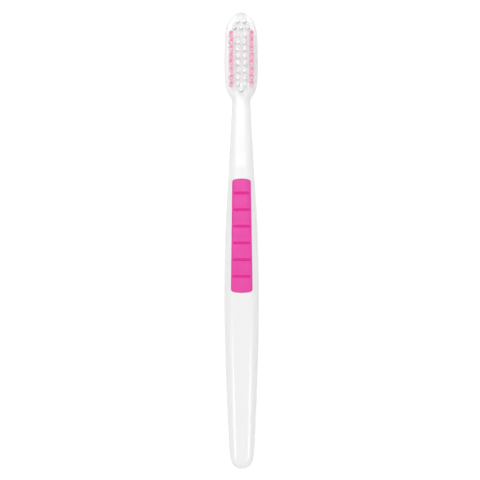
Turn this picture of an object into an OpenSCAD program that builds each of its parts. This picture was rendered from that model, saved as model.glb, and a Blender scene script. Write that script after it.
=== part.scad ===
// Manual toothbrush, lying on its back with the bristles up.
// X is across the brush, Y runs along it towards the head, and Z is up.
// The origin is in the middle of the box that holds the brush, on the surface that it lies on.
// Places along the brush are measured from the end of the handle and are called s.

/* [Overall] */
// Length of the brush from the end of the handle to the toe of the head
brush_len = 190; // [175:1:205]

/* [Handle] */
// Width of the handle at its widest place
handle_w = 14.4; // [12.5:0.1:17]
// Thickness of the handle at its widest place
handle_t = 10.6; // [9:0.1:13]
// Distance from the end of the handle to its widest place
belly_at = 72; // [62:1:82]
// Width that the handle runs out to at its end
heel_w = 9.3; // [7:0.1:12]
// Thickness that the handle runs out to at its end
heel_t = 6.2; // [5:0.1:8]
// Height of the handle's end above the surface
heel_lift = 0.9; // [0.3:0.1:2]
// Length over which the handle's end is rounded
heel_round = 7; // [4:0.5:10]

/* [Neck] */
// Width of the neck where it meets the head
neck_w = 7.5; // [5.5:0.1:9]
// Thickness of the neck where it meets the head
neck_t = 5.2; // [4:0.1:6.5]
// Height of the neck above the surface
neck_lift = 0.9; // [0.3:0.1:2]

/* [Head] */
// Length of the head from the neck to the toe
head_len = 36.8; // [33:0.1:42]
// Width of the head at its widest place
head_w = 14; // [12.5:0.1:16]
// Thickness of the head
head_t = 5; // [4.5:0.1:6.5]
// Length over which the toe is rounded in plan
toe_round = 10; // [6:0.5:12]
// Radius of the toe's rim, seen from the side
toe_rim = 1.6; // [0.8:0.1:2.2]

/* [Tuft holes] */
// Number of full rows of four tufts
rows = 8; // [6:1:9]
// Diameter of a tuft hole
hole_d = 1.7; // [1.4:0.05:1.8]
// Depth of a tuft hole
hole_depth = 3.5; // [2.8:0.1:3.8]
// Plastic between the outer holes and the side of the head at its widest place
side_wall = 1.9; // [1.5:0.1:2.4]
// Plastic between the toe row and the toe
toe_wall = 3; // [2.6:0.1:4]
// Plastic between the last tuft and the start of the neck
heel_wall = 3.5; // [2.8:0.1:4.5]

/* [Tufts] */
// Height of the tufts above the face of the head
tuft_h = 10.5; // [8:0.1:12]
// Lean of the outer strands of a tuft, in degrees
lean = 1.1; // [0.2:0.1:1.8]

/* [Anchor wires] */
// Width of an anchor wire, across its hole
anchor_w = 2.1; // [1.9:0.05:2.3]
// Height of an anchor wire
anchor_h = 1.5; // [1.1:0.1:1.8]
// Thickness of an anchor wire
anchor_t = 0.3; // [0.2:0.05:0.4]
// Turn of the anchor wires from the cross direction, in degrees
anchor_turn = 30; // [0:5:60]

/* [Grip pad] */
// Length of the grip pad
grip_len = 47.7; // [36:0.1:54]
// Width of the grip pad at the end towards the head
grip_toe_w = 7.7; // [5:0.1:8.2]
// Width of the grip pad at the end towards the heel
grip_heel_w = 8.9; // [6:0.1:9.6]
// Distance from the widest place of the handle to the pad
grip_ahead = 1.3; // [0:0.1:5]
// Radius of the pad's corners
grip_corner = 1.3; // [0.6:0.1:2.2]
// Rise of the arched ends of the pad
grip_arch = 0.3; // [0.1:0.1:0.8]
// Depth of the pad in the handle
grip_depth = 1.3; // [0.9:0.1:2]
// Height of the pad above the handle
grip_proud = 0.4; // [0.2:0.05:0.8]
// Number of grooves across the pad
grooves = 6; // [3:1:8]
// Width of a groove
groove_w = 1.2; // [0.6:0.1:1.6]

/* [Hidden] */
// Running clearance between a tuft or an anchor and the hole that holds it
fit_gap = 0.02;
// Overrun of a cut past the face that it opens
over = 0.5;
// Depth of plastic between the bottom of a tuft hole and its anchor wire
anchor_seat = 0.3;
// Depth to which the strands run down into the packed root of a tuft
strand_root = 0.5;
// Number of sides of a strand, and of a tuft hole and the root that fills it
strand_sides = 3;
hole_sides = 12;
// Strands in the inner and in the outer circle of a tuft, and turn of the outer circle in degrees
inner_strands = 3;
outer_strands = 9;
outer_turn = 20;
// Radii of the two circles, and width of a strand across its corners, as shares of the root's radius
inner_radius_share = 0.29;
outer_radius_share = 0.73;
strand_share = 0.43;
// Lean of the inner strands as a share of the outer ones'
inner_lean_share = 0.4;

// Width and thickness along the front of the handle, from the widest place to the neck:
// share of the way, and share of the way from the neck's size up to the handle's
taper_shares = [
    [0, 1], [0.1, 0.978], [0.19, 0.936], [0.29, 0.88], [0.39, 0.783], [0.5, 0.645],
    [0.6, 0.484], [0.7, 0.354], [0.8, 0.235], [0.91, 0.1], [1, 0]
];
// Width along the head, from the neck to the toe, before the toe is rounded:
// share of the head's length, and share of the way from the neck's width up to the head's
head_shares = [
    [0, 0], [0.022, 0.06], [0.054, 0.29], [0.1, 0.6], [0.145, 0.79], [0.19, 0.885],
    [0.24, 0.93], [0.44, 1], [0.73, 0.91], [1, 0.86]
];
// Power of the curve by which the handle swells from its end to its widest place
swell_power = 1.8;
// Powers of the rounded ends in plan
heel_power = 2.5;
toe_power = 2;
// Power of the round edges of the cross-section
edge_power = 2.35;

// Flat part of the upper face, of the lower face, and height of the widest line, as shares:
// for the handle, for the neck and for the head
top_flat_shares = [0.3, 0.2, 0.84];
back_flat_shares = [0.5, 0.4, 0.72];
widest_shares = [0.5, 0.5, 0.66];
// Where the back of the handle leaves the surface and where it is highest,
// as shares of the way from the widest place to the neck
arch_from_share = 0.3;
arch_top_share = 0.85;
// Where the heel comes down to the surface, as a share of the way to the widest place,
// and power of the curve by which it comes down
heel_down_share = 0.75;
heel_down_power = 1.5;
// Length of the step from the neck's height to the head's, behind and ahead of the neck's end,
// as shares of the length of the head
step_back_share = 0.2;
step_head_share = 0.075;
// Length over which the head's cross-section and flat back are reached, as a share of its length
plate_share = 0.24;
// Places of the row of three and of the first and last full rows, as shares of the tuft field
bow_share = 0.091;
first_row_share = 0.196;
last_row_share = 0.92;
// Bottom of a groove's arc above the pad's crown line, as a share of the groove's width
groove_sink_share = 0.05;
// Length of the first pad segment as a share of a full one
end_segment_share = 0.87;

// Points on each quarter of the cross-section
arc_steps = 8;
// Rings on each stretch of the moulding
heel_rings = 8;
back_rings = 12;
front_rings = 16;
shoulder_rings = 12;
plate_rings = 4;
toe_rings = 9;
// Points on each corner and each arched end of the pad's outline
corner_steps = 6;
arch_steps = 6;
groove_faces = 32;

head_from = brush_len - head_len;
shoulder_end = head_from + plate_share * head_len;
toe_from = brush_len - toe_round;
neck_top = neck_lift + neck_t;
middle = brush_len / 2;

// Place in a list from a to b in equal steps, without its first member
function steps(a, b, n) = [for (i = [1:n]) a + (b - a) * i / n];
function mix(a, b, t) = a + (b - a) * t;
function ease(t) = let (c = max(0, min(1, t))) c * c * (3 - 2 * c);

// Smooth curve through a table of shares, which never swings past a point of the table
function chord(t, i) = (t[i + 1][1] - t[i][1]) / (t[i + 1][0] - t[i][0]);
function slope(t, i) =
    i == 0 ? chord(t, 0)
    : i == len(t) - 1 ? chord(t, i - 1)
    : let (a = chord(t, i - 1), b = chord(t, i)) a * b <= 0 ? 0 : 2 * a * b / (a + b);
function span_of(t, x, i = 0) = i >= len(t) - 2 || x < t[i + 1][0] ? i : span_of(t, x, i + 1);
function curve(t, x) =
    let (
        i = span_of(t, x),
        w = t[i + 1][0] - t[i][0],
        u = (x - t[i][0]) / w,
        a = u * u * (3 - 2 * u)
    )
    mix(t[i][1], t[i + 1][1], a)
    + w * u * (1 - u) * (slope(t, i) * (1 - u) - slope(t, i + 1) * u);

// Share of the full size at a distance from an end that is rounded over a length
function round_end(d, length, power) =
    d >= length ? 1 : pow(1 - pow(1 - d / length, power), 1 / power);

// Outline of the brush seen from above
function along_back(s) = 1 - pow(1 - s / belly_at, swell_power);
function along_front(s) = curve(taper_shares, min(1, (s - belly_at) / (head_from - belly_at)));
function full_width(s) =
    s < belly_at ? mix(heel_w, handle_w, along_back(s))
    : s < head_from ? mix(neck_w, handle_w, along_front(s))
    : mix(neck_w, head_w, curve(head_shares, (s - head_from) / head_len));
function half_width(s) =
    full_width(s) / 2
    * round_end(s, heel_round, heel_power)
    * round_end(brush_len - s, toe_round, toe_power);

// Side view of the brush: height of the upper face and of the back, before the ends are rounded
function top_line(s) =
    let (
        body = s < belly_at ? mix(heel_lift + heel_t, handle_t, along_back(s))
            : mix(neck_top, handle_t, along_front(s)),
        from = head_from - step_back_share * head_len,
        to = head_from + step_head_share * head_len
    )
    mix(body, head_t, ease((s - from) / (to - from)));
function back_line(s) =
    s < belly_at ? heel_lift * pow(max(0, 1 - s / (heel_down_share * belly_at)), heel_down_power)
    : let (way = (s - belly_at) / (head_from - belly_at))
        neck_lift
        * ease((way - arch_from_share) / (arch_top_share - arch_from_share))
        * (1 - ease((s - head_from + step_back_share * head_len)
            / (shoulder_end - head_from + step_back_share * head_len)));

// Share for a place, from the three for the handle, the neck and the head
function by_place(shares, s) =
    s < head_from
    ? mix(shares[1], shares[0], s < belly_at ? 1 : along_front(s))
    : mix(shares[1], shares[2], ease((s - head_from) / (shoulder_end - head_from)));

// Closed cross-section at s, from the right-hand side round over the top
function section(s) =
    let (
        a = half_width(s),
        rim = round_end(s, heel_round, heel_power) * round_end(brush_len - s, toe_rim, toe_power),
        low = back_line(s),
        high = top_line(s),
        m = mix(low, high, by_place(widest_shares, s)),
        top = m + (high - m) * rim,
        back = m + (low - m) * rim,
        top_flat = by_place(top_flat_shares, s) * a,
        back_flat = by_place(back_flat_shares, s) * a,
        p = 2 / edge_power
    )
    [
        for (i = [0:arc_steps]) let (t = 90 * i / arc_steps)
            [top_flat + (a - top_flat) * pow(cos(t), p), s - middle, m + (top - m) * pow(sin(t), p)],
        for (i = [arc_steps:-1:0]) let (t = 90 * i / arc_steps)
            [-top_flat - (a - top_flat) * pow(cos(t), p), s - middle, m + (top - m) * pow(sin(t), p)],
        for (i = [1:arc_steps]) let (t = 90 * i / arc_steps)
            [-back_flat - (a - back_flat) * pow(cos(t), p), s - middle, m + (back - m) * pow(sin(t), p)],
        for (i = [arc_steps:-1:1]) let (t = 90 * i / arc_steps)
            [back_flat + (a - back_flat) * pow(cos(t), p), s - middle, m + (back - m) * pow(sin(t), p)]
    ];

// Solid through the cross-sections at a list of places, closed by the points ahead and behind
module loft(places, first_point, last_point) {
    rings = [for (s = places) section(s)];
    n = len(rings[0]);
    count = len(rings);
    points = concat([first_point], [for (r = rings) each r], [last_point]);
    faces = concat(
        [for (j = [0:n - 1]) [0, 1 + (j + 1) % n, 1 + j]],
        [for (i = [0:count - 2], j = [0:n - 1])
            let (a = 1 + i * n + j, b = 1 + i * n + (j + 1) % n) each [[a, b, a + n], [b, b + n, a + n]]],
        [for (j = [0:n - 1])
            [len(points) - 1, 1 + (count - 1) * n + j, 1 + (count - 1) * n + (j + 1) % n]]
    );
    polyhedron(points, faces);
}

// Middle of the cross-section at s
function centre(s) = [0, s - middle, mix(back_line(s), top_line(s), by_place(widest_shares, s))];

// Grip pad: where it starts and ends, and its half width along the way
grip_from = belly_at + grip_ahead;
grip_to = grip_from + grip_len;
function grip_half(s) = mix(grip_heel_w, grip_toe_w, (s - grip_from) / grip_len) / 2;
function grip_crown(s) = top_line(s) + grip_proud;
segment_len = grip_len / (grooves - 1 + 2 * end_segment_share);
groove_places = [for (i = [0:grooves - 1]) grip_from + segment_len * (end_segment_share + i)];

// Corner of the pad's outline, at the end that lies at s, on the side given by x_sign
function grip_corner_points(s, x_sign, y_sign, turn) =
    let (
        x = x_sign * (grip_half(s) - grip_corner),
        y = s - y_sign * grip_corner - middle
    )
    [for (i = [0:corner_steps]) let (t = turn + 90 * i / corner_steps)
        [x + grip_corner * cos(t), y + grip_corner * sin(t)]];
function grip_end_points(s, x_sign, y_sign) =
    let (x = x_sign * (grip_half(s) - grip_corner))
    [for (i = [1:arch_steps - 1]) let (t = 1 - 2 * i / arch_steps)
        [x * t, s + y_sign * grip_arch * (1 - t * t) - middle]];
module grip_outline() {
    polygon(concat(
        grip_corner_points(grip_to, 1, 1, 0),
        grip_end_points(grip_to, 1, 1),
        grip_corner_points(grip_to, -1, 1, 90),
        grip_corner_points(grip_from, -1, -1, 180),
        grip_end_points(grip_from, -1, -1),
        grip_corner_points(grip_from, 1, -1, 270)
    ));
}

// Stretch of the handle under the pad, with a margin at each end
module handle_stretch(lift) {
    from = grip_from - 2 * grip_arch - over;
    to = grip_to + 2 * grip_arch + over;
    translate([0, 0, lift]) loft(concat([from], steps(from, to, front_rings)), centre(from), centre(to));
}

// Upright prism on the pad's outline, from the middle of the handle to above the pad
module grip_prism() {
    translate([0, 0, handle_t / 2]) linear_extrude(height = handle_t) grip_outline();
}

// Tufts: name, place across, place along, and whether the tuft is pink
column_names = ["pink_tuft_left_", "white_tuft_left_", "white_tuft_right_", "pink_tuft_right_"];
last_column = len(column_names) - 1;
column_pitch = (head_w - 2 * side_wall - hole_d) / last_column;
field_from = brush_len - toe_wall - hole_d / 2;
field_to = head_from + heel_wall + hole_d / 2;
function across(k, n) = (k - (n - 1) / 2) * column_pitch;
function field(share) = mix(field_from, field_to, share);
function row_share(r) = mix(first_row_share, last_row_share, (r - 1) / (rows - 1));
TUFTS = concat(
    [for (k = [0:1]) [str("toe_tuft_", k + 1), across(k, 2), field(0), false]],
    [for (k = [0:2]) [str("bow_tuft_", k + 1), across(k, 3), field(bow_share), false]],
    [for (k = [0:last_column], r = [1:rows]) let (pink = k == 0 || k == last_column)
        [str(column_names[k], r), across(k, last_column + 1), field(row_share(r)), pink]],
    [["heel_tuft", across(0, 1), field(1), false]]
);

module at_tuft(t, z) {
    translate([t[1], t[2] - middle, z]) children();
}

// Flat anchor wire, grown by a clearance all round
module anchor(gap, width) {
    rotate([0, 0, anchor_turn])
        translate([-width / 2, -anchor_t / 2 - gap, -gap])
            cube([width, anchor_t + 2 * gap, anchor_h + 2 * gap]);
}
hole_floor = head_t - hole_depth;
root_r = hole_d / 2 - fit_gap;
anchor_z = hole_floor + anchor_seat;

// White moulding: handle, neck and head in one piece
module handle() {
    heel_places = [for (i = [1:heel_rings]) heel_round * (1 - cos(90 * i / heel_rings))];
    toe_places = [for (i = [1:toe_rings - 1]) toe_from + toe_round * sin(90 * i / toe_rings)];
    places = concat(
        heel_places,
        steps(heel_round, belly_at, back_rings),
        steps(belly_at, head_from, front_rings),
        steps(head_from, shoulder_end, shoulder_rings),
        steps(shoulder_end, toe_from, plate_rings),
        toe_places
    );
    color([0.96, 0.96, 0.97])
    difference() {
        loft(places, centre(0), centre(brush_len));
        difference() {
            grip_prism();
            handle_stretch(-grip_depth);
        }
        for (t = TUFTS) {
            at_tuft(t, hole_floor) cylinder(h = hole_depth + over, d = hole_d, $fn = hole_sides);
            at_tuft(t, anchor_z) anchor(fit_gap, anchor_w + 2 * fit_gap);
        }
    }
}

// Pink soft pad in the recess, with grooves across it
module grip_pad() {
    color([0.92, 0.33, 0.68])
    difference() {
        intersection() {
            grip_prism();
            handle_stretch(grip_proud);
        }
        handle_stretch(-grip_depth);
        for (s = groove_places)
            translate([-handle_w / 2, s - middle, grip_crown(s) + groove_sink_share * groove_w])
                rotate([0, 90, 0]) cylinder(h = handle_w, d = groove_w, $fn = groove_faces);
    }
}

// One tuft: a packed root that fills the hole and folds round the anchor, and loose strands above
module strands(count, radius, tilt, turn) {
    for (i = [0:count - 1])
        rotate([0, 0, turn + 360 * i / count])
            translate([radius, 0, -strand_root])
                rotate([0, tilt, 0])
                    cylinder(h = tuft_h + strand_root, d = strand_share * root_r, $fn = strand_sides);
}
module tuft(t) {
    color(t[3] ? [0.97, 0.57, 0.67] : [0.93, 0.95, 0.97])
    union() {
        difference() {
            at_tuft(t, hole_floor) cylinder(h = hole_depth, r = root_r, $fn = hole_sides);
            at_tuft(t, anchor_z) anchor(fit_gap, anchor_w + 2 * fit_gap);
        }
        at_tuft(t, head_t) {
            strands(inner_strands, inner_radius_share * root_r, inner_lean_share * lean, 0);
            strands(outer_strands, outer_radius_share * root_r, lean, outer_turn);
        }
    }
}

// Flat metal wires that hold the tufts in their holes
module anchor_wires() {
    color([0.85, 0.7, 0.4])
    for (t = TUFTS) at_tuft(t, anchor_z) anchor(0, anchor_w);
}

handle();
grip_pad();
anchor_wires();
for (t = TUFTS) tuft(t);
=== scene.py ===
# %% [markdown]
# # A manual toothbrush, seen from straight above
#
# The brush lies on its back on a lit white table. Its construction is already made: a frame holds every
# solid at its true size, in metres, with X across the brush, Y along it towards the head and Z up.
# This lesson dresses that frame. It makes the smooth moulding, the soft grip pad and the bristles as
# meshes, gives each its finish, lights them and sets up the camera.

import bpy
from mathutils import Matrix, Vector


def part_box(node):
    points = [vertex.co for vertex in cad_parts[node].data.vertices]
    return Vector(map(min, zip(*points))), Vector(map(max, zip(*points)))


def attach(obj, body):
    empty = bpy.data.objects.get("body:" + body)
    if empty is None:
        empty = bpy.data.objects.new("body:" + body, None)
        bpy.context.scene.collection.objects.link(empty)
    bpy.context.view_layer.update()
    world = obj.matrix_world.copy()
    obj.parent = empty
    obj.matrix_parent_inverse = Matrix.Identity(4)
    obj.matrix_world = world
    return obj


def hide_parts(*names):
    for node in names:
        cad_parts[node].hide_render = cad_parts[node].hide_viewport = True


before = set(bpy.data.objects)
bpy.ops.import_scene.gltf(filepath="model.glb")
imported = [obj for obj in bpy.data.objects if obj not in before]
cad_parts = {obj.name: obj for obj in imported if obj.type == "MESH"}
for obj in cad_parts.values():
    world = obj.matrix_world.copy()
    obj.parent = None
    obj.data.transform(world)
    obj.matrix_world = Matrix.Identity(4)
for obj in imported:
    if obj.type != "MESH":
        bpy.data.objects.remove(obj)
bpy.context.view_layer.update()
print("nodes in the frame:", len(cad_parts))

# %% [markdown]
# ## Units and small helpers
#
# A toothbrush is drawn in millimetres, and Blender works in metres. So every size below is written as a
# number times MM. Places along the brush are called s and are measured from the end of the handle, the
# way one would lay a ruler along it. The middle of the brush is at Y = 0.

# %% Helpers for sizes and curves
import math
import random

import bmesh
import bpy
import numpy as np
from mathutils import Matrix, Vector

MM = 0.001
handle_low, handle_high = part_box("handle")
brush_len = handle_high.y - handle_low.y
middle = brush_len / 2


def mix(a, b, share):
    return a + (b - a) * share


def ease(share):
    held = max(0.0, min(1.0, share))
    return held * held * (3 - 2 * held)


def curve(table, x):
    """Smooth curve through a table of (place, value), which never swings past a point of the table."""
    places = [row[0] for row in table]
    values = [row[1] for row in table]
    chords = [(values[i + 1] - values[i]) / (places[i + 1] - places[i]) for i in range(len(table) - 1)]
    slopes = [chords[0]]
    for a, b in zip(chords, chords[1:]):
        slopes.append(2 * a * b / (a + b) if a * b > 0 else 0.0)
    slopes.append(chords[-1])
    i = max(0, min(len(table) - 2, sum(place <= x for place in places) - 1))
    width = places[i + 1] - places[i]
    u = (x - places[i]) / width
    bend = u * (1 - u) * (slopes[i] * (1 - u) - slopes[i + 1] * u)
    return mix(values[i], values[i + 1], u * u * (3 - 2 * u)) + width * bend


def round_end(distance, length, power):
    """Share of the full size at a distance from an end that is rounded over a length."""
    if distance >= length:
        return 1.0
    return max(0.0, 1 - (1 - max(0.0, distance) / length) ** power) ** (1 / power)


def steps(start, end, count):
    return [mix(start, end, i / count) for i in range(count + 1)]


print("brush length in mm:", round(brush_len / MM, 2))

# %% [markdown]
# ## The shape of the moulding
#
# Heel, handle, neck and head are one shot of white plastic. A moulder would draw it as an outline seen
# from above, a side view, and a cross-section that turns from a rounded bar at the handle into a flat
# plate at the head. The frame's solid follows the same drawing with large facets. Here the drawing is
# repeated with many more sections, so that light runs over it without a break. The widest and
# thickest places are read from the frame, and the rest are the sizes of the same drawing.
#
# Four fine forms are added to it. The neck drops to the head plate over a longer way. A faint swell
# crosses the top of the neck 126 mm from the end of the handle. The toe sweeps up further on its
# underside than on its rim. And the two halves of the mould leave a parting line, a low ridge that runs
# round the brush at its widest place.

# %% Sizes of the moulding
handle_w = handle_high.x - handle_low.x
handle_t = handle_high.z - handle_low.z
belly_at = 72 * MM
heel_w = 9.3 * MM
heel_t = 6.2 * MM
heel_lift = 0.9 * MM
heel_round = 7 * MM
heel_land_from = 0.75 * belly_at
heel_drop_power = 1.5
neck_w = 7.5 * MM
neck_t = 5.2 * MM
neck_lift = 0.9 * MM
neck_rise_from = 0.3
neck_rise_over = 0.55
head_len = 36.8 * MM
head_w = 14 * MM
head_t = 5 * MM
toe_round = 10 * MM
toe_rim = 2.5 * MM
toe_sweep = 5 * MM
head_from = brush_len - head_len
shoulder_end = head_from + 0.24 * head_len
step_from = head_from - 0.2 * head_len
step_to = head_from + 0.134 * head_len
bead_at = 126 * MM
bead_reach = 4.5 * MM
bead_rise = 0.15 * MM
print("widest and thickest in mm:", round(handle_w / MM, 2), round(handle_t / MM, 2))

# %% Outline and side view
taper = [(0, 1), (0.1, 0.978), (0.19, 0.936), (0.29, 0.88), (0.39, 0.783), (0.5, 0.645),
         (0.6, 0.484), (0.7, 0.354), (0.8, 0.235), (0.91, 0.1), (1, 0)]
head_swell = [(0, 0), (0.022, 0.06), (0.054, 0.29), (0.1, 0.6), (0.145, 0.79), (0.19, 0.885),
              (0.24, 0.93), (0.44, 1), (0.73, 0.91), (1, 0.86)]
swell_power = 1.8
heel_power = 2.5
toe_power = 2


def along_back(s):
    return 1 - max(0.0, 1 - s / belly_at) ** swell_power


def along_front(s):
    return curve(taper, min(1.0, (s - belly_at) / (head_from - belly_at)))


def full_width(s):
    if s < belly_at:
        return mix(heel_w, handle_w, along_back(s))
    if s < head_from:
        return mix(neck_w, handle_w, along_front(s))
    return mix(neck_w, head_w, curve(head_swell, (s - head_from) / head_len))


def half_width(s):
    ends = round_end(s, heel_round, heel_power) * round_end(brush_len - s, toe_round, toe_power)
    return full_width(s) / 2 * ends


def top_line(s):
    if s < belly_at:
        body = mix(heel_lift + heel_t, handle_t, along_back(s))
    else:
        body = mix(neck_lift + neck_t, handle_t, along_front(s))
    from_bead = min(1.0, abs(s - bead_at) / bead_reach)
    body += bead_rise * (1 + math.cos(math.pi * from_bead)) / 2
    return mix(body, head_t, ease((s - step_from) / (step_to - step_from)))


def back_line(s):
    if s < belly_at:
        return heel_lift * max(0.0, 1 - s / heel_land_from) ** heel_drop_power
    way = (s - belly_at) / (head_from - belly_at)
    rise = ease((way - neck_rise_from) / neck_rise_over)
    fall = ease((s - step_from) / (shoulder_end - step_from))
    return neck_lift * rise * (1 - fall)


print("half width at the belly in mm:", round(half_width(belly_at) / MM, 2))

# %% Cross-section
edge_power = 2.35
arc_steps = 22
flat_steps = 6
top_flats = (0.3, 0.2, 0.84)
back_flats = (0.5, 0.4, 0.72)
widest_lines = (0.5, 0.5, 0.66)
seam_w = 0.14 * MM
seam_rise = 0.035 * MM
seam_share = 0.04
seam_full_at = 2 * MM


def by_place(shares, s):
    """Share for a place, from the three for the handle, the neck and the head."""
    handle_share, neck_share, head_share = shares
    if s < head_from:
        return mix(neck_share, handle_share, 1.0 if s < belly_at else along_front(s))
    return mix(neck_share, head_share, ease((s - head_from) / (shoulder_end - head_from)))


def profile(s):
    """Half width, heights of the back, widest line and top, and half widths of the two flats."""
    heel_end = round_end(s, heel_round, heel_power)
    low, high, half = back_line(s), top_line(s), half_width(s)
    wide = mix(low, high, by_place(widest_lines, s))
    top = mix(wide, high, heel_end * round_end(brush_len - s, toe_rim, toe_power))
    back = mix(wide, low, heel_end * round_end(brush_len - s, toe_sweep, toe_power))
    return half, back, wide, top, by_place(back_flats, s) * half, by_place(top_flats, s) * half


def section(s):
    """Closed ring of points, from the right-hand side round over the top."""
    half, back, wide, top, back_flat, top_flat = profile(s)
    power = 2 / edge_power
    arc = [(math.cos(t) ** power, math.sin(t) ** power) for t in steps(0, math.pi / 2, arc_steps)]
    arc[-1] = (0.0, 1.0)
    over = [(top_flat + (half - top_flat) * c, wide + (top - wide) * up) for c, up in arc]
    under = [(back_flat + (half - back_flat) * c, wide + (back - wide) * up) for c, up in arc]
    over += [(mix(top_flat, 0, i / flat_steps), top) for i in range(1, flat_steps)]
    under += [(mix(back_flat, 0, i / flat_steps), back) for i in range(1, flat_steps)]
    seam_half = min(seam_w / 2, seam_share * (top - wide))
    seam_out = seam_rise * min(1.0, half / seam_full_at)
    over[:1] = [(half + seam_out, wide), (half, wide + seam_half)]
    under[:1] = [(half + seam_out, wide), (half, wide - seam_half)]
    ring = over + [(0.0, top)] + [(-x, z) for x, z in reversed(over)]
    ring += [(-x, z) for x, z in under[1:]] + [(0.0, back)] + [(x, z) for x, z in reversed(under[1:])]
    return [(x, s - middle, z) for x, z in ring]


print("points on a ring:", len(section(belly_at)))

# %% [markdown]
# ## From rings to a solid
#
# Rings that follow one another are joined into a skin, and each end is closed by a fan of triangles. The
# rings stand close together where the brush turns fast: round the heel, over the shoulder of the head and
# round the toe. Elsewhere they can be wide apart, because the surface is nearly straight there.

# %% A skin over a row of rings
def skin(rings, first, last):
    """Points and faces over rings of equal length, closed at a first and a last point."""
    count = len(rings[0])
    points = [first] + [p for ring in rings for p in ring] + [last]
    end = len(points) - 1
    start_of_last = 1 + (len(rings) - 1) * count
    faces = []
    for j in range(count):
        nxt = (j + 1) % count
        faces.append((0, 1 + j, 1 + nxt))
        for a in range(1, start_of_last, count):
            faces.append((a + j, a + count + j, a + count + nxt, a + nxt))
        faces.append((end, start_of_last + nxt, start_of_last + j))
    return points, faces


def solid(name, skins):
    """One mesh object that holds one or more closed skins, with every face turned outwards."""
    points, faces = [], []
    for more_points, more_faces in skins:
        start = len(points)
        points += more_points
        faces += [tuple(start + i for i in face) for face in more_faces]
    mesh = bpy.data.meshes.new(name)
    mesh.from_pydata(points, [], faces)
    work = bmesh.new()
    work.from_mesh(mesh)
    bmesh.ops.recalc_face_normals(work, faces=work.faces)
    work.to_mesh(mesh)
    work.free()
    piece = bpy.data.objects.new(name, mesh)
    bpy.context.scene.collection.objects.link(piece)
    return piece


heel_turns = steps(0, math.pi / 2, 30)
toe_turns = steps(0, math.pi / 2, 44)
ring_places = [heel_round * (1 - math.cos(t)) for t in heel_turns][1:]
straights = [(heel_round, belly_at, 60), (belly_at, step_from, 60), (step_from, shoulder_end, 70),
             (shoulder_end, brush_len - toe_round, 16)]
for start, end, count in straights:
    ring_places += steps(start, end, count)[1:]
ring_places += [brush_len - toe_round * (1 - math.sin(t)) for t in toe_turns][1:-1]
heel_point = (0, -middle, profile(0)[2])
toe_point = (0, middle, profile(brush_len)[2])
moulding = solid("moulding", [skin([section(s) for s in ring_places], heel_point, toe_point)])
print("moulding before the cuts:", len(moulding.data.polygons), "faces")

# %% [markdown]
# ## The outline of the grip pad
#
# The pad is a rounded rectangle, a little wider towards the heel, with ends that bulge slightly. It is
# moulded into a recess of the same outline, so the outline is made once and used twice: to cut the recess
# and to shape the pad. The frame's box gives its ends. They are drawn in by about half a millimetre,
# which is where the photograph shows them.

# %% Outline of the pad
pad_low, pad_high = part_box("grip_pad")
pad_arch = 0.3 * MM
pad_corner = 1.3 * MM
corner_steps = 14
arch_steps = 10
pad_depth = 1.3 * MM
pad_proud = 0.4 * MM
pad_heel_half = 8.9 * MM / 2
pad_toe_half = 7.7 * MM / 2
heel_trim = 0.4 * MM
toe_trim = 0.65 * MM
pad_from = pad_low.y + pad_arch + heel_trim + middle
pad_to = pad_high.y - pad_arch - toe_trim + middle
pad_len = pad_to - pad_from


def pad_half(s):
    return mix(pad_heel_half, pad_toe_half, (s - pad_from) / pad_len)


def pad_end(s, sign):
    """Right half of the outline at one end, from the side to the tip of the arch."""
    half = pad_half(s) - pad_corner
    turns = steps(0, math.pi / 2, corner_steps)
    corner = [(half + pad_corner * math.cos(t), s + sign * pad_corner * (math.sin(t) - 1)) for t in turns]
    arch = [half * (1 - i / arch_steps) for i in range(1, arch_steps + 1)]
    return corner + [(x, s + sign * pad_arch * (1 - (x / half) ** 2)) for x in arch]


print("pad in mm:", round((pad_len + 2 * pad_arch) / MM, 2), "long")

# %% [markdown]
# ## The grip pad
#
# The pad is soft rubber. It follows the swell of the handle a little above it, its rim is rounded, and six
# grooves run across it without reaching the sides. All of that is one height over every point of the
# outline: the handle's own height, plus how proud the pad is, minus the grooves, minus the roll of the
# rim. So the pad is made as rows of points across it, each row a closed ring over its top and back along
# its bottom. The same rows, taken straight up from the floor of the recess, make the cutter.

# %% Height of the handle's upper face
def face_height(x, s):
    """Height of the handle's upper face at places x across it."""
    half, _, wide, top, _, flat = profile(s)
    reach = np.clip((np.abs(x) - flat) / (half - flat), 0, 1)
    return wide + (top - wide) * (1 - reach ** edge_power) ** (1 / edge_power)


chain = list(reversed(pad_end(pad_from, -1))) + pad_end(pad_to, 1)
chain_x = np.array([x for x, s in chain])
chain_s = np.array([s for x, s in chain])
rim_length = np.concatenate([[0], np.cumsum(np.hypot(np.diff(chain_x), np.diff(chain_s)))])
rim_count = 1200
rim_at = np.linspace(0, rim_length[-1], rim_count)
rim_x = np.interp(rim_at, rim_length, chain_x)
rim_s = np.interp(rim_at, rim_length, chain_s)


def depth_inside(x, s):
    """Distance from places x in a row at s to the nearest point of the pad's outline."""
    return np.sqrt(((np.abs(x)[:, None] - rim_x) ** 2 + (s - rim_s) ** 2).min(axis=1))


print("half way round the pad in mm:", round(rim_length[-1] / MM, 1))

# %% Grooves, pillows and the rolled rim
groove_count = 6
groove_w = 1.25 * MM
groove_deep = 0.5 * MM
groove_stop = 0.3 * MM
groove_fade = 0.6 * MM
groove_power = 1.6
lip_rise = 0.035 * MM
lip_reach = 0.3 * groove_w
pillow_rise = 0.07 * MM
pillow_reach = 1.5 * MM
rim_roll = 0.36 * MM
heel_share = 0.936
toe_share = 0.815
segment_len = pad_len / (heel_share + groove_count - 1 + toe_share)
groove_places = [pad_from + segment_len * (heel_share + i) for i in range(groove_count)]


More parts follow.
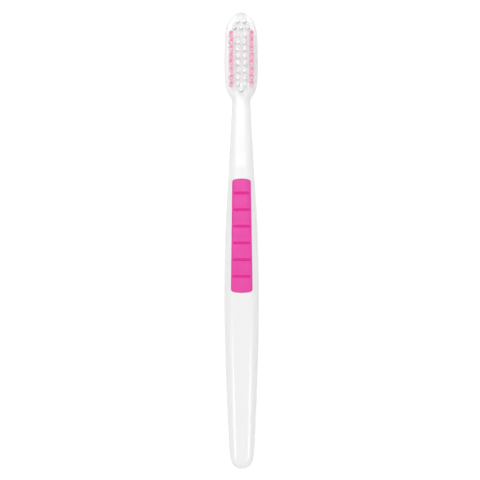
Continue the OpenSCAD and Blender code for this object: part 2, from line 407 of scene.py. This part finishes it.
def groove_share(s, inside):
    """How deep in a groove each place of a row lies, from 0 to 1."""
    off = min(abs(s - place) for place in groove_places) / (groove_w / 2)
    across = np.clip((inside - groove_stop) / groove_fade, 0, 1)
    return max(0.0, 1 - off ** 2) ** groove_power * across ** 2 * (3 - 2 * across)


def pad_height(x, s):
    inside = depth_inside(x, s)
    to_edge = np.clip(rim_roll - inside, 0, None)
    roll = rim_roll - np.sqrt(np.clip(rim_roll ** 2 - to_edge ** 2, 0, None))
    off = min(abs(s - place) for place in groove_places)
    lip = lip_rise * math.exp(-((off - groove_w / 2) / lip_reach) ** 2)
    pillow = pillow_rise * math.sin(math.pi * min(1, off / segment_len))
    raised = pad_proud + np.clip(inside / pillow_reach, 0, 1) * pillow + lip
    return face_height(x, s) + raised - groove_deep * groove_share(s, inside) - roll


# %% Rows across the pad
across_steps = 52
end_steps = 18
long_steps = 400
first_turn = 0.02
across_shares = np.sin(np.linspace(math.pi / 2, -math.pi / 2, across_steps))
end_len = pad_arch + pad_corner
end_rows = [end_len * (1 - math.cos(t)) for t in steps(first_turn, math.pi / 2, end_steps)]
first_s = pad_from - pad_arch
last_s = pad_to + pad_arch
row_places = [first_s + e for e in end_rows]
row_places += steps(first_s + end_len, last_s - end_len, long_steps)[1:-1]
row_places += [last_s - e for e in reversed(end_rows)]


def pad_rows(grow, under, over):
    """Closed rings across the pad, between two heights, with the outline grown by a gap."""
    rows = []
    pad_middle = (pad_from + pad_to) / 2
    for s in row_places:
        half = np.interp(s, chain_s, chain_x)
        x = across_shares * (half + grow)
        held = across_shares * half
        y = s - middle + grow * (s - pad_middle) / (pad_len / 2)
        over_z, under_z = over(held, s), under(held, s)
        rows.append([(float(a), y, float(z)) for a, z in zip(x, over_z)]
                    + [(float(a), y, float(z)) for a, z in zip(x[::-1], under_z[::-1])])
    return rows


def row_middle(row):
    return tuple(sum(p[i] for p in row) / len(row) for i in range(3))


def pad_floor(x, s):
    return face_height(x, s) - pad_depth


pad_rings = pad_rows(0.0, pad_floor, pad_height)
print("pad:", len(pad_rings), "rows of", len(pad_rings[0]), "points")

# %% [markdown]
# ## Cutting the recess and the tuft holes
#
# On the real brush the recess and the holes are shaped by the mould. Here they are cut with boolean
# modifiers, whose results are kept as the mesh. A tuft hole is a blind hole with a small chamfer at its
# mouth, and a slit on each side of it holds the ends of the anchor wire. The frame's boxes say where each
# tuft stands, and the box of the anchor wires gives their height.

# %% A cut that is kept
def cut(piece, cutter):
    step = piece.modifiers.new("cut", "BOOLEAN")
    step.operation = "DIFFERENCE"
    step.solver = "EXACT"
    step.object = cutter
    graph = bpy.context.evaluated_depsgraph_get()
    mesh = bpy.data.meshes.new_from_object(piece.evaluated_get(graph))
    piece.modifiers.clear()
    piece.data = mesh
    bpy.data.objects.remove(cutter)
    print(piece.name, "after a cut:", len(mesh.polygons), "faces")


def rows_as_skin(rows):
    return skin(rows, row_middle(rows[0]), row_middle(rows[-1]))


cut_gap = 0.02 * MM
cutter_top = handle_t + MM
recess_rings = pad_rows(cut_gap, lambda x, s: pad_floor(x, s) - cut_gap, lambda x, s: 0 * x + cutter_top)
cut(moulding, solid("recess_cutter", [rows_as_skin(recess_rings)]))

# %% Holes and slits
hole_r = 1.7 * MM / 2
hole_deep = 3.5 * MM
hole_floor = head_t - hole_deep
chamfer = 0.09 * MM
cutter_rise = 0.5 * MM
anchor_w = 2.1 * MM
anchor_t = 0.3 * MM
anchor_turn = math.radians(30)
wire_low, wire_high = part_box("anchor_wires")
tuft_names = sorted(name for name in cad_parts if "tuft" in name)
tuft_places = {}
for name in tuft_names:
    low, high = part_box(name)
    tuft_places[name] = ((low.x + high.x) / 2, (low.y + high.y) / 2)


def circle(x, y, z, radius, count=40):
    turns = steps(0, math.tau, count)[:-1]
    return [(x + radius * math.cos(t), y + radius * math.sin(t), z) for t in turns]


def hole(x, y):
    top = head_t + cutter_rise
    levels = [(hole_floor, hole_r), (head_t - chamfer, hole_r), (top, hole_r + chamfer + cutter_rise)]
    rings = [circle(x, y, z, radius) for z, radius in levels]
    return skin(rings, (x, y, hole_floor), (x, y, top))


def slit(x, y):
    half_w, half_t = anchor_w / 2 + cut_gap, anchor_t / 2 + cut_gap
    corners = [(half_w, half_t), (-half_w, half_t), (-half_w, -half_t), (half_w, -half_t)]
    c, d = math.cos(anchor_turn), math.sin(anchor_turn)
    ring = [(x + u * c - v * d, y + u * d + v * c) for u, v in corners]
    low, high = wire_low.z - cut_gap, wire_high.z + cut_gap
    return skin([[(a, b, z) for a, b in ring] for z in (low, high)], (x, y, low), (x, y, high))


cut(moulding, solid("slit_cutter", [slit(x, y) for x, y in tuft_places.values()]))
cut(moulding, solid("hole_cutter", [hole(x, y) for x, y in tuft_places.values()]))

# %% Smooth light over the moulding
def shade(piece, crease_angle):
    """Smooth shading, except where two faces meet at more than an angle."""
    mesh = piece.data
    mesh.polygons.foreach_set("use_smooth", [True] * len(mesh.polygons))
    mesh.set_sharp_from_angle(angle=math.radians(crease_angle))


shade(moulding, crease_angle=35)
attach(moulding, "root")
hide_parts("handle")
print("moulding:", len(moulding.data.vertices), "points")

# %% The pad as a piece
pad = solid("soft_grip", [rows_as_skin(pad_rings)])
shares = [0.0]
for s in row_places:
    row_x = across_shares * np.interp(s, chain_s, chain_x)
    shares += list(groove_share(s, depth_inside(row_x, s))) + [0.0] * across_steps
groove_mark = pad.data.attributes.new("groove", "FLOAT", "POINT")
groove_mark.data.foreach_set("value", shares + [0.0])
shade(pad, crease_angle=50)
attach(pad, "root")
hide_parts("grip_pad")
print("pad:", len(pad.data.polygons), "faces")

# %% [markdown]
# ## The tufts
#
# A tuft is a bundle of nylon filaments 0.2 mm thick. A machine folds the bundle in half round a flat
# piece of wire and drives it into the hole, so every filament has two legs, one on each side of the wire.
# The filaments fill the hole at its mouth and spread a little above it. Neighbours cling together in
# clumps that lean their own way, so no two tufts are alike. Their tips are trimmed level and ground round.
#
# Seven clear tufts near the ends of the head are loose: they lack their outermost filaments, and the rest
# are pressed across their wire, towards the toe. So each leaves a little of its hole open behind it, a
# small dark dot from above.
#
# Each filament is a fine tube along its own path, from one tip, under the wire, to the other. The random
# draws are seeded by the tuft's place in the list, so every run gives the same brush.

# %% Sizes of a tuft
filament_r = 0.1 * MM
filament_pitch = 0.215 * MM
packed_r = 0.735 * MM
pink_spread = 1.2
clear_spread = 1.06
stray = 0.045 * MM
bow_share = 0.6
clumps_across = 3
clump_lean = 0.13 * MM
tuft_lean = 0.13 * MM
lean_ahead = {"toe": 0.42 * MM, "bow": 0.25 * MM}
trim_slack = 0.12 * MM
tube_sides = 6
tip_rounding = [(0.55, 0.83), (0.9, 0.42)]
wire_turn_u = Vector((math.cos(anchor_turn), math.sin(anchor_turn), 0))
wire_turn_v = Vector((-math.sin(anchor_turn), math.cos(anchor_turn), 0))
row_rise = filament_pitch * math.sqrt(3) / 2
most_rows = 4
packing = []
for row in range(most_rows):
    v = row_rise * (row + 0.5)
    offset = filament_pitch / 2 * (row % 2)
    for i in range(-most_rows, most_rows + 1):
        u = i * filament_pitch + offset
        if math.hypot(u, v) <= packed_r:
            packing.append((u, v))
loose_tufts = ("toe", "bow", "heel", "white_tuft_left_8")
loose_reach = 0.6 * MM
press_ahead = 0.19 * MM
loose_packing = [(u, v) for u, v in packing if v < loose_reach]
print("filaments folded in a tuft:", len(packing), "and in a loose one:", len(loose_packing))

# %% The path of one folded filament
beside_wire = anchor_t / 2 + filament_r
farthest_off_wire = 0.62 * MM
gather_above_wire = 0.4 * MM
leave_above_wire_end = 0.05 * MM
fold_gap = 0.02 * MM
leg_shares = (1.0, 0.8, 0.58, 0.36, 0.16, 0.0)


def leg(u, v, side, tip_z, tip_shift, bow, ahead, spread):
    """Points from a tip down into the hole, in the directions of the wire (u) and across it (v)."""
    points = []
    for share in leg_shares:
        open_out = 1 + (spread - 1) * share
        sway = bow * math.sin(math.pi * share)
        along_wire = u * open_out + tip_shift[0] * share + sway
        off_wire = side * v * open_out + tip_shift[1] * share + sway + ahead
        points.append((along_wire, off_wire, mix(head_t, tip_z, share)))
    at_wire = mix(beside_wire, farthest_off_wire, v / packed_r)
    points.append((u, side * mix(v, at_wire, 0.5), wire_high.z + gather_above_wire))
    points.append((u, side * at_wire, wire_high.z))
    points.append((u, side * at_wire, wire_low.z + leave_above_wire_end))
    return points


def folded(u, v, tip_z, shifts, bows, ahead, spread):
    """The whole path: one leg, the fold under the wire, the other leg."""
    down = leg(u, v, 1, tip_z[0], shifts[0], bows[0], ahead, spread)
    up = leg(u, v, -1, tip_z[1], shifts[1], bows[1], ahead, spread)
    fold_z = wire_low.z - filament_r - fold_gap
    fold = [(u, 0.5 * down[-1][1], fold_z), (u, 0.5 * up[-1][1], fold_z)]
    return down + fold + up[::-1]


# %% A tube with round tips along a path
def tube(path, radius):
    points = [Vector(p) for p in path]
    count = len(points)
    rings = []
    for i, point in enumerate(points):
        along = (points[min(i + 1, count - 1)] - points[max(i - 1, 0)]).normalized()
        side = along.cross(wire_turn_u).normalized()
        other = along.cross(side)
        shapes = [(0.0, 1.0)]
        if i == 0:
            shapes = [(-shift, size) for shift, size in reversed(tip_rounding)] + shapes
        if i == count - 1:
            shapes = shapes + tip_rounding
        for shift, size in shapes:
            middle_point = point + along * (shift * radius)
            rings.append([middle_point + radius * size * (math.cos(t) * side + math.sin(t) * other)
                          for t in steps(0, math.tau, tube_sides)[:-1]])
    first = points[0] - (points[1] - points[0]).normalized() * radius
    last = points[-1] - (points[-2] - points[-1]).normalized() * radius
    return skin(rings, first, last)


# %% Every tuft
def make_tuft(number, name):
    """One tuft as one mesh, with a value for each filament and one for the height along it."""
    draw = random.Random(number)
    foot = Vector((*tuft_places[name], 0))
    tip_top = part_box(name)[1].z - filament_r
    ahead = next((far for start, far in lean_ahead.items() if name.startswith(start)), 0.0)
    lean = Vector((draw.uniform(-1, 1) * tuft_lean, draw.uniform(-1, 1) * tuft_lean + ahead, 0))
    lean = (lean.dot(wire_turn_u), lean.dot(wire_turn_v))
    clumps = [[side + draw.gauss(0, 1) * clump_lean for side in lean] for _ in range(2 * clumps_across)]
    loose = name.startswith(loose_tufts)
    pressed = press_ahead if loose else 0.0
    spread = pink_spread if name.startswith("pink") else clear_spread
    skins, shades, reaches = [], [], []
    for u, v in (loose_packing if loose else packing):
        tips = [tip_top - trim_slack * draw.random() ** 2 for _ in range(2)]
        clump = int(clumps_across * (u / packed_r + 1) / 2)
        shifts = [[side + draw.gauss(0, 1) * stray for side in clumps[clump + clumps_across * leg_number]]
                  for leg_number in range(2)]
        bows = [draw.gauss(0, bow_share) * stray for _ in range(2)]
        path = [foot + a * wire_turn_u + b * wire_turn_v + z * Vector((0, 0, 1))
                for a, b, z in folded(u, v, tips, shifts, bows, pressed, spread)]
        points, faces = tube(path, filament_r)
        skins.append((points, faces))
        shades += [draw.random()] * len(points)
        reaches += [(p[2] - head_t) / (tip_top - head_t) for p in points]
    piece = solid("filaments_" + name, skins)
    for label, values in (("strand", shades), ("reach", reaches)):
        piece.data.attributes.new(label, "FLOAT", "POINT").data.foreach_set("value", values)
    piece.data.polygons.foreach_set("use_smooth", [True] * len(piece.data.polygons))
    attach(piece, "root")
    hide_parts(name)
    return piece


tufts = [make_tuft(number, name) for number, name in enumerate(tuft_names)]
print("tufts:", len(tufts), "faces:", sum(len(t.data.polygons) for t in tufts))

# %% [markdown]
# ## Finishes
#
# Four kinds of material dress the brush: glossy white plastic, satin pink rubber, clear and pink nylon,
# and the drawn metal of the anchor wires. None is one flat colour. Small differences of colour, gloss and
# height are made from noise in the object's own space, at the size that the real surface shows them.

# %% Helpers for finishes
def finish(name):
    """A material with one shader, and its node tree."""
    made = bpy.data.materials.new(name)
    made.use_nodes = True
    return made, made.node_tree, made.node_tree.nodes["Principled BSDF"]


def grain(tree, size, detail=3.0, stretch=(1, 1, 1)):
    """Noise from 0 to 1 whose spots are about as big as size, in metres."""
    place = tree.nodes.new("ShaderNodeTexCoord")
    scale = tree.nodes.new("ShaderNodeMapping")
    scale.inputs["Scale"].default_value = [1 / (size * s) for s in stretch]
    noise = tree.nodes.new("ShaderNodeTexNoise")
    noise.inputs["Scale"].default_value = 1.0
    noise.inputs["Detail"].default_value = detail
    tree.links.new(place.outputs["Object"], scale.inputs["Vector"])
    tree.links.new(scale.outputs["Vector"], noise.inputs["Vector"])
    return noise.outputs["Fac"]


def mark(tree, name):
    """A value that is stored on the points of the mesh."""
    node = tree.nodes.new("ShaderNodeAttribute")
    node.attribute_name = name
    return node.outputs["Fac"]


def ramp(tree, value, stops):
    """Colours that run from one stop to the next as the value goes from 0 to 1."""
    node = tree.nodes.new("ShaderNodeValToRGB")
    places = node.color_ramp.elements
    while len(places) < len(stops):
        places.new(0.5)
    for element, (place, colour) in zip(places, stops):
        element.position = place
        element.color = (*colour, 1)
    tree.links.new(value, node.inputs["Fac"])
    return node.outputs["Color"]


def span(tree, value, low, high, start=0.0, end=1.0):
    """A value stretched from the range start to end on to the range low to high."""
    node = tree.nodes.new("ShaderNodeMapRange")
    for label, number in (("From Min", start), ("From Max", end), ("To Min", low), ("To Max", high)):
        node.inputs[label].default_value = number
    tree.links.new(value, node.inputs["Value"])
    return node.outputs["Result"]


def tint(tree, base, other, share):
    """One colour blended into another by a share."""
    node = tree.nodes.new("ShaderNodeMix")
    node.data_type = "RGBA"
    sockets = (node.inputs["Factor"], node.inputs[6], node.inputs[7])
    for socket, source in zip(sockets, (share, base, other)):
        if isinstance(source, bpy.types.NodeSocket):
            tree.links.new(source, socket)
        else:
            socket.default_value = (*source, 1)
    return node.outputs[2]


def relief(tree, height, depth, below=None):
    """A fine relief of the surface, depth metres from its lowest to its highest point."""
    node = tree.nodes.new("ShaderNodeBump")
    node.inputs["Distance"].default_value = depth
    tree.links.new(height, node.inputs["Height"])
    if below is not None:
        tree.links.new(below, node.inputs["Normal"])
    return node.outputs["Normal"]


# %% [markdown]
# ### Glossy white plastic
#
# The moulding is polished, opaque white polypropylene. Light goes a short way into it, so its shadows
# are soft. Its gloss is broken by a very shallow waviness that runs along the flow of the plastic and by
# a fine orange peel, both far too shallow to see except in a reflection.

# %% White plastic
white_plastic, tree, shader = finish("glossy_white_plastic")
cloud = grain(tree, 18 * MM, 2, (1, 3, 1))
tree.links.new(ramp(tree, cloud, [(0.3, (0.834, 0.835, 0.838)), (0.7, (0.85, 0.85, 0.85))]),
               shader.inputs["Base Color"])
tree.links.new(span(tree, grain(tree, 2.2 * MM, 4), 0.15, 0.23), shader.inputs["Roughness"])
waves = relief(tree, grain(tree, 9 * MM, 1, (1, 4, 1)), 0.02 * MM)
tree.links.new(relief(tree, grain(tree, 0.5 * MM, 2), 0.0012 * MM, waves), shader.inputs["Normal"])
shader.inputs["IOR"].default_value = 1.5
shader.inputs["Subsurface Weight"].default_value = 0.12
shader.inputs["Subsurface Radius"].default_value = (1.0, 0.95, 0.9)
shader.inputs["Subsurface Scale"].default_value = 1.2 * MM
moulding.data.materials.append(white_plastic)
print("finish:", white_plastic.name)

# %% [markdown]
# ### Satin pink rubber
#
# The pad is dyed through, so its colour is deep and even, with a faint cloudiness. Its skin has a fine matt
# grain from the etched mould. In the grooves pink light bounces from wall to wall, and the colour grows
# stronger and darker. The stored groove value paints that in as well: painted shade that makes the grooves
# a darker, deeper pink.

# %% Pink rubber
pink_rubber, tree, shader = finish("satin_pink_rubber")
cloud = ramp(tree, grain(tree, 5 * MM, 3), [(0.3, (0.75, 0.039, 0.345)), (0.7, (0.785, 0.052, 0.38))])
# Painted shade: the groove value darkens and deepens the pink towards the bottom of each groove.
groove_painted_shade = span(tree, mark(tree, "groove"), 0.0, 0.95)
tree.links.new(tint(tree, cloud, (0.74, 0.009, 0.27), groove_painted_shade), shader.inputs["Base Color"])
tree.links.new(span(tree, grain(tree, 0.9 * MM, 4), 0.4, 0.56), shader.inputs["Roughness"])
skin_grain = relief(tree, grain(tree, 0.28 * MM, 4), 0.006 * MM)
tree.links.new(skin_grain, shader.inputs["Normal"])
shader.inputs["IOR"].default_value = 1.47
shader.inputs["Sheen Weight"].default_value = 0.03
shader.inputs["Sheen Roughness"].default_value = 0.4
shader.inputs["Subsurface Weight"].default_value = 0.08
shader.inputs["Subsurface Radius"].default_value = (1.0, 0.35, 0.6)
shader.inputs["Subsurface Scale"].default_value = 0.8 * MM
pad.data.materials.append(pink_rubber)
print("finish:", pink_rubber.name)

# %% [markdown]
# ### Nylon filaments
#
# Clear nylon looks white in a bundle, because light is scattered from one filament to the next. Each
# filament differs a little from its neighbours. The ground tip is rougher and greyer than the drawn shaft,
# and the grey also keeps the painted glow below from lighting the tips too much. The pink ones are dyed in
# the melt. Their colour is deepest at the tip, where one looks down the whole length of the dye, and paler
# along the shaft, where light shines through a thin filament.
#
# A real filament also pipes light down its length, and light turns many times between filaments. A faint
# painted glow stands in for both, so the filaments give off light though they are no lamps. The glow is
# dimmer towards the tip and towards the mouth of the hole. So the tuft is lit inside by painted light, and
# the hole stays dark.

# %% Nylon in two colours
# Share of the painted glow that is left at the mouth of the hole.
painted_glow_at_mouth = 0.55


def nylon(name, root, shaft, tip, glow, painted_glow_at_tip):
    made, tree, shader = finish(name)
    reach = mark(tree, "reach")
    along = ramp(tree, reach, [(0.0, root), (0.65, shaft), (0.85, shaft), (0.97, tip)])
    faded = tint(tree, along, tip, span(tree, mark(tree, "strand"), 0.0, 0.45))
    streak = span(tree, grain(tree, 0.5 * MM, 2, (1, 1, 6)), 0.0, 0.12)
    tree.links.new(tint(tree, faded, root, streak), shader.inputs["Base Color"])
    tree.links.new(span(tree, reach, 0.22, 0.5, 0.97, 1.0), shader.inputs["Roughness"])
    shader.inputs["IOR"].default_value = 1.53
    # Painted glow: the emission colour is dim at the mouth, full along the shaft and dimmer again at the
    # tip.
    mouth_painted_glow = tuple(painted_glow_at_mouth * c for c in root)
    tip_painted_glow = tuple(painted_glow_at_tip * c for c in root)
    tree.links.new(ramp(tree, reach, [(0.0, mouth_painted_glow), (0.2, root), (0.8, tip_painted_glow)]),
                   shader.inputs["Emission Color"])
    # Painted light: the filaments glow with this strength, though they are no lamps.
    shader.inputs["Emission Strength"].default_value = glow
    return made


# glow is the strength of the painted glow in each nylon.
pink_nylon = nylon("pink_nylon", root=(0.97, 0.96, 0.965), shaft=(0.97, 0.85, 0.908),
                   tip=(0.95, 0.275, 0.507), glow=0.12, painted_glow_at_tip=0.6)
clear_nylon = nylon("clear_nylon", root=(0.877, 0.893, 0.889), shaft=(0.845, 0.864, 0.86),
                    tip=(0.805, 0.815, 0.815), glow=0.29, painted_glow_at_tip=0.5)
for tuft, name in zip(tufts, tuft_names):
    tuft.data.materials.append(pink_nylon if name.startswith("pink") else clear_nylon)
print("finishes:", pink_nylon.name, clear_nylon.name)

# %% [markdown]
# ### Drawn metal wire
#
# The anchors stay as the frame has them, small flat pieces of wire with sheared ends. Only their finish
# is added: a yellow metal with fine lines along the draw.

# %% Anchor wires
wire_metal, tree, shader = finish("drawn_wire")
lines = grain(tree, 0.06 * MM, 2, (12, 12, 1))
tree.links.new(ramp(tree, lines, [(0.3, (0.62, 0.47, 0.23)), (0.7, (0.78, 0.62, 0.34))]),
               shader.inputs["Base Color"])
tree.links.new(span(tree, lines, 0.24, 0.42), shader.inputs["Roughness"])
tree.links.new(relief(tree, lines, 0.002 * MM), shader.inputs["Normal"])
shader.inputs["Metallic"].default_value = 1.0
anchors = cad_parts["anchor_wires"]
anchors.data.materials.clear()
anchors.data.materials.append(wire_metal)
print("finish:", wire_metal.name)

# %% [markdown]
# ## Table and light
#
# The photograph is a catalogue picture: pure white all round and no shadow. A photographer gets that with
# a table of white acrylic lit from below, so the table here glows a little. Softboxes hang round the
# brush and not over it, because the camera looks straight down. So the flat top mirrors the dimmer
# ceiling and stays light grey, and each softbox draws one streak where the surface leans towards it: two
# draw the bright band on the neck, two the streaks at the heel, and a small one beyond the toe brightens
# the end of the plate.
#
# The rest of the room is pale at the horizon, dark in a ring above it and dimmer than white overhead. The
# dark ring does what black cards do in a studio: it shades the sides of the handle, so that white plastic
# keeps its edge in front of a white table. The whole sky is tilted by two degrees, so the ring stands
# higher on the right and shades that side a little more.

# %% Table
table_size = 12.0
table_glow = 0.76
bpy.ops.mesh.primitive_plane_add(size=table_size, location=(0, 0, -0.05 * MM))
table_top = bpy.context.object
table_top.name = "table_top"
acrylic, tree, shader = finish("lit_acrylic")
tree.links.new(ramp(tree, grain(tree, 0.25, 1), [(0.3, (0.30, 0.30, 0.30)), (0.7, (0.31, 0.31, 0.31))]),
               shader.inputs["Base Color"])
shader.inputs["Roughness"].default_value = 0.9
shader.inputs["Specular IOR Level"].default_value = 0.1
shader.inputs["Emission Color"].default_value = (1, 1, 1, 1)
shader.inputs["Emission Strength"].default_value = table_glow
table_top.data.materials.append(acrylic)
print("table:", table_size, "m wide")

# %% Room light
room = bpy.data.worlds.new("white_room")
bpy.context.scene.world = room
room.use_nodes = True
tree = room.node_tree
way = tree.nodes.new("ShaderNodeTexCoord")
split = tree.nodes.new("ShaderNodeSeparateXYZ")
tilt = tree.nodes.new("ShaderNodeMapping")
sky_tilt = math.radians(2)
tilt.inputs["Rotation"].default_value = (0, sky_tilt, 0)
tree.links.new(way.outputs["Generated"], tilt.inputs["Vector"])
tree.links.new(tilt.outputs["Vector"], split.inputs["Vector"])
haze, ring, dome = (1.0, 1.0, 1.0), (0.03, 0.03, 0.03), (0.465, 0.465, 0.465)
heights = (0.05, 0.075, 0.19, 0.27)
sky = ramp(tree, split.outputs["Z"], list(zip(heights, (haze, ring, ring, dome))))
tree.links.new(sky, tree.nodes["Background"].inputs["Color"])
print("room light:", room.name)


# %% Softboxes
def softbox(name, place, width, depth, glow):
    """A lamp that faces straight down, with the brightness of its cloth and not its power."""
    data = bpy.data.lights.new(name, "AREA")
    data.shape = "RECTANGLE"
    data.size, data.size_y = width, depth
    data.energy = glow * math.pi * width * depth
    lamp = bpy.data.objects.new(name, data)
    lamp.location = place
    bpy.context.scene.collection.objects.link(lamp)
    print("softbox:", name, [round(c, 2) for c in place])


softbox("beyond_the_toe", (0.0, 0.19, 0.70), 0.20, 0.07, 3.0)
softbox("for_the_neck_left", (-0.15, 0.40, 0.70), 0.30, 0.50, 4.6)
softbox("for_the_neck_right", (0.07, 0.40, 0.70), 0.14, 0.50, 2.2)
softbox("for_the_heel_left", (-0.40, -0.40, 0.70), 0.24, 0.5, 5.6)
softbox("for_the_heel_right", (0.42, -0.40, 0.70), 0.28, 0.5, 4.6)

# %% [markdown]
# ## Camera
#
# The camera hangs 0.9 m over the brush, a finger's breadth to the left of its middle, on a long lens. Three
# marks were read in the photograph: the rows of pixels where the toe and the heel end, and the column of
# the brush's middle. The rows give the scale, and all three give the aim. A hair of roll turns the heel to
# the right by less than a pixel.
#
# Between filaments light turns many times before it comes out. So it is followed over more bounces than
# a solid object needs.

# %% Camera
photo_px = 480
toe_px = 12.5
heel_px = 468.5
brush_middle_px = 241.45
roll = math.radians(0.1)
end_height = 3.5 * MM
metres_per_px = brush_len / (heel_px - toe_px)
aim = Vector(((photo_px / 2 - brush_middle_px) * metres_per_px,
              ((toe_px + heel_px) / 2 - photo_px / 2) * metres_per_px, end_height))
aim_to_eye = Vector((-12 * MM, 0, 896 * MM))
eye = aim + aim_to_eye
camera = bpy.data.objects.new("camera", bpy.data.cameras.new("camera"))
bpy.context.scene.collection.objects.link(camera)
camera.location = eye
sight = (aim - eye).normalized()
right = sight.cross(Vector((math.sin(roll), math.cos(roll), 0))).normalized()
camera.rotation_euler = Matrix((right, right.cross(sight), -sight)).transposed().to_euler()
camera.data.lens = camera.data.sensor_width * (eye - aim).length / (photo_px * metres_per_px)
camera.data.clip_start = 0.05
camera.data.clip_end = 20
bpy.context.scene.camera = camera
bpy.context.scene.view_settings.view_transform = "Standard"
bpy.context.scene.cycles.diffuse_bounces = 24
bpy.context.scene.cycles.max_bounces = 32
print("lens in mm:", round(camera.data.lens, 1))
